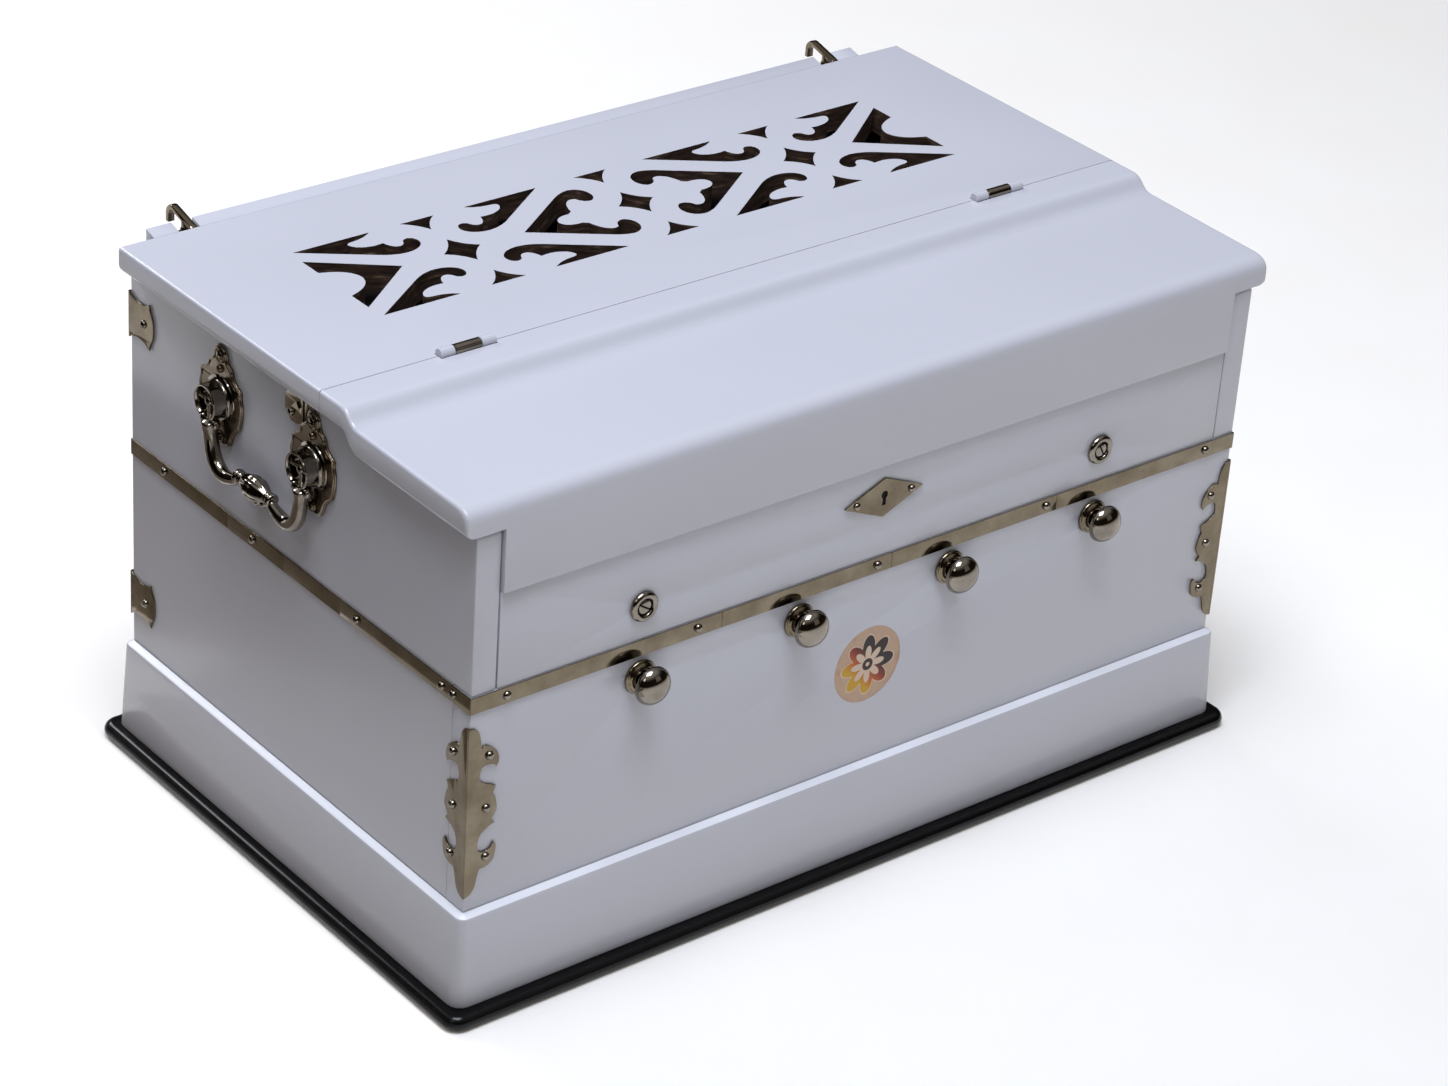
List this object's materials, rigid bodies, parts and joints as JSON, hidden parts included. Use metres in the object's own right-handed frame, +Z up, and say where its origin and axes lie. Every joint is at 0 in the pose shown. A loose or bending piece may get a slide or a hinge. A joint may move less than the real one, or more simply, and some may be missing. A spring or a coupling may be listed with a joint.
{
  "type": "indian harmonium",
  "caption": "Hand-pumped Indian harmonium: white lacquered case on a flared plinth, fretted top, folding front cover over the keyboard, stop knobs, drop handles, rear bellows board.",
  "frame": {"origin": "centre of the bounding box at the bottom, on the underside of the base board", "axes": "+X along the keyboard to the player's right, +Y from the player to the bellows at the back, +Z up"},
  "size_m": [0.6764, 0.4402, 0.3831],
  "materials": {
    "white_lacquer": "glossy white lacquer over wood",
    "black_gloss": "glossy black lacquer over wood",
    "dark_wood": "dark stained wood, satin",
    "nickel": "polished nickel plate",
    "steel": "plain steel, satin",
    "bellows_cloth": "matt rubberised cloth",
    "key_ivory": "glossy ivory-coloured facing over wood",
    "key_black": "glossy black over wood"
  },
  "bodies": {
    "case": {"base_board": "black_gloss", "plinth": "white_lacquer", "side_panel_left": "white_lacquer", "side_panel_right": "white_lacquer", "front_panel": "white_lacquer", "back_panel": "white_lacquer", "fall_board": "white_lacquer", "lid_rear": "white_lacquer", "slip_screw_left": "nickel", "slip_screw_right": "nickel", "trim_band": "nickel", "corner_plate_front_left": "nickel", "corner_plate_front_right": "nickel", "corner_plate_rear_left_upper": "nickel", "corner_plate_rear_left_lower": "nickel", "corner_plate_rear_right_upper": "nickel", "corner_plate_rear_right_lower": "nickel", "joint_plate_left": "nickel", "joint_plate_right": "nickel", "handle_plate_left_front": "nickel", "handle_plate_left_rear": "nickel", "handle_plate_right_front": "nickel", "handle_plate_right_rear": "nickel", "cover_hinge_left_fixed": "nickel", "cover_hinge_right_fixed": "nickel", "lock_escutcheon": "nickel", "knob_collar_1": "nickel", "knob_collar_2": "nickel", "knob_collar_3": "nickel", "knob_collar_4": "nickel", "lock_case": "steel", "bellows_hinge_fixed": "steel", "bellows_cloth": "bellows_cloth", "air_reservoir": "bellows_cloth", "key_bed": "dark_wood", "reed_board": "dark_wood", "inner_cover": "dark_wood", "keys_low": "key_ivory", "keys_high": "key_ivory"},
    "front_lid": {"lid_front": "white_lacquer", "cover_hinge_left_moving": "nickel", "cover_hinge_right_moving": "nickel"},
    "bellows_flap": {"bellows_board": "white_lacquer", "bellows_hinge_moving": "steel"},
    "hook_left": {"bellows_hook_left": "nickel"},
    "hook_right": {"bellows_hook_right": "nickel"},
    "bail_left": {"handle_bail_left": "nickel"},
    "bail_right": {"handle_bail_right": "nickel"},
    "stop_1": {"stop_knob_1": "nickel"},
    "stop_2": {"stop_knob_2": "nickel"},
    "stop_3": {"stop_knob_3": "nickel"},
    "stop_4": {"stop_knob_4": "nickel"},
    "bolt": {"lock_bolt": "steel"},
    "key_f": {"key_f": "key_ivory"},
    "key_f_sharp": {"key_f_sharp": "key_black"},
    "key_g": {"key_g": "key_ivory"},
    "key_g_sharp": {"key_g_sharp": "key_black"},
    "key_a": {"key_a": "key_ivory"},
    "key_a_sharp": {"key_a_sharp": "key_black"},
    "key_b": {"key_b": "key_ivory"}
  },
  "joints": [
    {"name": "front_lid_hinge", "type": "hinge", "parent": "case", "child": "front_lid", "pos_m": [0, -0.0448, 0.3777], "axis": [-1, 0, 0], "range_deg": [0, 180]},
    {"name": "bellows_hinge", "type": "hinge", "parent": "case", "child": "bellows_flap", "pos_m": [0, 0.19145, 0.0816], "axis": [-1, 0, 0], "range_deg": [0, 25], "deforming": ["bellows_cloth"]},
    {"name": "hook_left_pivot", "type": "hinge", "parent": "bellows_flap", "child": "hook_left", "pos_m": [-0.272, 0.1992, 0.369], "axis": [-1, 0, 0], "range_deg": [0, 70]},
    {"name": "hook_right_pivot", "type": "hinge", "parent": "bellows_flap", "child": "hook_right", "pos_m": [0.272, 0.1992, 0.369], "axis": [-1, 0, 0], "range_deg": [0, 70]},
    {"name": "bail_left_swing", "type": "hinge", "parent": "case", "child": "bail_left", "pos_m": [-0.3295, 0.0257, 0.314], "axis": [0, 1, 0], "range_deg": [0, 110]},
    {"name": "bail_right_swing", "type": "hinge", "parent": "case", "child": "bail_right", "pos_m": [0.3295, 0.0257, 0.314], "axis": [0, -1, 0], "range_deg": [0, 110]},
    {"name": "stop_1_slide", "type": "slide", "parent": "case", "child": "stop_1", "axis": [0, -1, 0], "range_m": [0, 0.02]},
    {"name": "stop_2_slide", "type": "slide", "parent": "case", "child": "stop_2", "axis": [0, -1, 0], "range_m": [0, 0.02]},
    {"name": "stop_3_slide", "type": "slide", "parent": "case", "child": "stop_3", "axis": [0, -1, 0], "range_m": [0, 0.02]},
    {"name": "stop_4_slide", "type": "slide", "parent": "case", "child": "stop_4", "axis": [0, -1, 0], "range_m": [0, 0.02]},
    {"name": "bolt_throw", "type": "slide", "parent": "case", "child": "bolt", "axis": [0, 0, 1], "range_m": [0, 0.007]},
    {"name": "key_f_dip", "type": "hinge", "parent": "case", "child": "key_f", "pos_m": [-0.0448, -0.0478, 0.3], "axis": [1, 0, 0], "range_deg": [0, 2.8], "stiffness_Nm_per_rad": 0.3, "springref_deg": -14.32},
    {"name": "key_f_sharp_dip", "type": "hinge", "parent": "case", "child": "key_f_sharp", "pos_m": [-0.0336, -0.0478, 0.3], "axis": [1, 0, 0], "range_deg": [0, 2.8], "stiffness_Nm_per_rad": 0.3, "springref_deg": -14.32},
    {"name": "key_g_dip", "type": "hinge", "parent": "case", "child": "key_g", "pos_m": [-0.0224, -0.0478, 0.3], "axis": [1, 0, 0], "range_deg": [0, 2.8], "stiffness_Nm_per_rad": 0.3, "springref_deg": -14.32},
    {"name": "key_g_sharp_dip", "type": "hinge", "parent": "case", "child": "key_g_sharp", "pos_m": [-0.0112, -0.0478, 0.3], "axis": [1, 0, 0], "range_deg": [0, 2.8], "stiffness_Nm_per_rad": 0.3, "springref_deg": -14.32},
    {"name": "key_a_dip", "type": "hinge", "parent": "case", "child": "key_a", "pos_m": [0, -0.0478, 0.3], "axis": [1, 0, 0], "range_deg": [0, 2.8], "stiffness_Nm_per_rad": 0.3, "springref_deg": -14.32},
    {"name": "key_a_sharp_dip", "type": "hinge", "parent": "case", "child": "key_a_sharp", "pos_m": [0.0112, -0.0478, 0.3], "axis": [1, 0, 0], "range_deg": [0, 2.8], "stiffness_Nm_per_rad": 0.3, "springref_deg": -14.32},
    {"name": "key_b_dip", "type": "hinge", "parent": "case", "child": "key_b", "pos_m": [0.0224, -0.0478, 0.3], "axis": [1, 0, 0], "range_deg": [0, 2.8], "stiffness_Nm_per_rad": 0.3, "springref_deg": -14.32}
  ]
}
